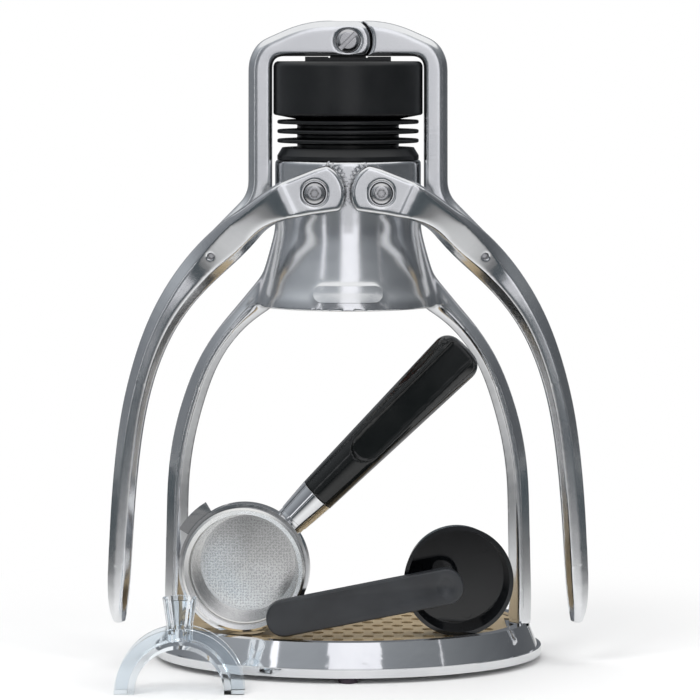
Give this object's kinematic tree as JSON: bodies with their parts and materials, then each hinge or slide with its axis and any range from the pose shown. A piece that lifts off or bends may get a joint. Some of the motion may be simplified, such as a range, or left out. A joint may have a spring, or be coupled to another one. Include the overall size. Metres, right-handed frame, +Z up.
{
  "type": "manual espresso maker",
  "caption": "Hand press for espresso: bell casting on an oval base, geared side levers that drive a finned piston, with its portafilter, scoop tamper and twin spout set out.",
  "frame": {"origin": "middle of the whole set's footprint on the table; the brew axis stands 11.25 mm behind it", "axes": "+Z up, front towards -Y, levers spread along X"},
  "size_m": [0.2172, 0.1534, 0.2902],
  "materials": {
    "base_casting": "bright plated",
    "drip_grid": "warm satin plate with drain holes",
    "rubber_feet": "matt",
    "leg_screws": "plain",
    "bell_casting": "polished casting",
    "brew_chamber": "moulded",
    "shower_screen": "plain sheet",
    "screen_screw": "plain",
    "group_gasket": "matt",
    "pivot_screws": "button heads with hexagon sockets",
    "left_lever": "polished casting",
    "left_lever_bush": "turned",
    "left_link_pin": "ground",
    "right_lever": "polished casting",
    "right_lever_bush": "turned",
    "right_link_pin": "ground",
    "left_link": "polished casting",
    "right_link": "polished casting",
    "hinge_screw": "slotted round head",
    "hinge_nut": "turned",
    "water_cup": "satin moulding",
    "piston_yoke": "satin moulding",
    "piston_stem": "satin moulding",
    "piston_head": "moulded",
    "piston_seal": "matt",
    "check_valve": "soft",
    "piston_rod": "plain",
    "portafilter_body": "bright plated",
    "filter_basket": "pressed sheet with a perforated floor",
    "basket_spring": "sprung wire",
    "handle_ferrule": "bright plated",
    "handle_grip": "satin moulding",
    "handle_stud": "plain",
    "scoop_dish": "glossy inside",
    "scoop_bar": "satin moulding",
    "twin_spout": "clear moulding"
  },
  "bodies": {
    "frame": {"base_casting": "base_casting", "drip_grid": "drip_grid", "rubber_feet": "rubber_feet", "leg_screws": "leg_screws", "bell_casting": "bell_casting", "brew_chamber": "brew_chamber", "shower_screen": "shower_screen", "screen_screw": "screen_screw", "group_gasket": "group_gasket", "pivot_screws": "pivot_screws"},
    "lever_left": {"left_lever": "left_lever", "left_lever_bush": "left_lever_bush"},
    "lever_right": {"right_lever": "right_lever", "right_lever_bush": "right_lever_bush"},
    "piston": {"water_cup": "water_cup", "piston_yoke": "piston_yoke", "piston_stem": "piston_stem", "piston_head": "piston_head", "piston_seal": "piston_seal", "check_valve": "check_valve", "piston_rod": "piston_rod", "hinge_screw": "hinge_screw", "hinge_nut": "hinge_nut"},
    "link_left": {"left_link": "left_link", "left_link_pin": "left_link_pin"},
    "link_right": {"right_link": "right_link", "right_link_pin": "right_link_pin"},
    "portafilter": {"portafilter_body": "portafilter_body", "filter_basket": "filter_basket", "basket_spring": "basket_spring", "handle_ferrule": "handle_ferrule", "handle_grip": "handle_grip", "handle_stud": "handle_stud"},
    "scoop": {"scoop_dish": "scoop_dish", "scoop_bar": "scoop_bar"},
    "spout": {"twin_spout": "twin_spout"}
  },
  "joints": [
    {"name": "left_lever_swing", "type": "hinge", "parent": "frame", "child": "lever_left", "pos_m": [-0.01475, -0.03175, 0.2135], "axis": [0, 1, 0], "range_deg": [0, 55]},
    {"name": "right_lever_swing", "type": "hinge", "parent": "frame", "child": "lever_right", "pos_m": [0.01475, -0.03175, 0.2135], "axis": [0, 1, 0], "range_deg": [-55, 0]},
    {"name": "piston_slide", "type": "slide", "parent": "frame", "child": "piston", "axis": [0, 0, 1], "range_m": [0, 0.04825]},
    {"name": "left_link_swing", "type": "hinge", "parent": "piston", "child": "link_left", "pos_m": [0, 0.01125, 0.281], "axis": [0, 1, 0], "range_deg": [0, 2.46]},
    {"name": "right_link_swing", "type": "hinge", "parent": "piston", "child": "link_right", "pos_m": [0, 0.01125, 0.281], "axis": [0, 1, 0], "range_deg": [-2.46, 0]},
    {"name": "portafilter_lift", "type": "slide", "parent": "frame", "child": "portafilter", "axis": [0, -0.64, 0.7684], "range_m": [0, 0.2]},
    {"name": "scoop_lift", "type": "slide", "parent": "frame", "child": "scoop", "axis": [0, -0.64, 0.7684], "range_m": [0, 0.2]},
    {"name": "spout_lift", "type": "slide", "parent": "frame", "child": "spout", "axis": [0, 0, 1], "range_m": [0, 0.1]}
  ],
  "couplings": [
    {"joint": "right_lever_swing", "follows": "left_lever_swing", "ratio": -1},
    {"joint": "piston_slide", "follows": "left_lever_swing", "m_per_rad": 0.050246},
    {"joint": "left_link_swing", "follows": "left_lever_swing", "ratio": 0.044527},
    {"joint": "right_link_swing", "follows": "left_lever_swing", "ratio": -0.044527}
  ]
}
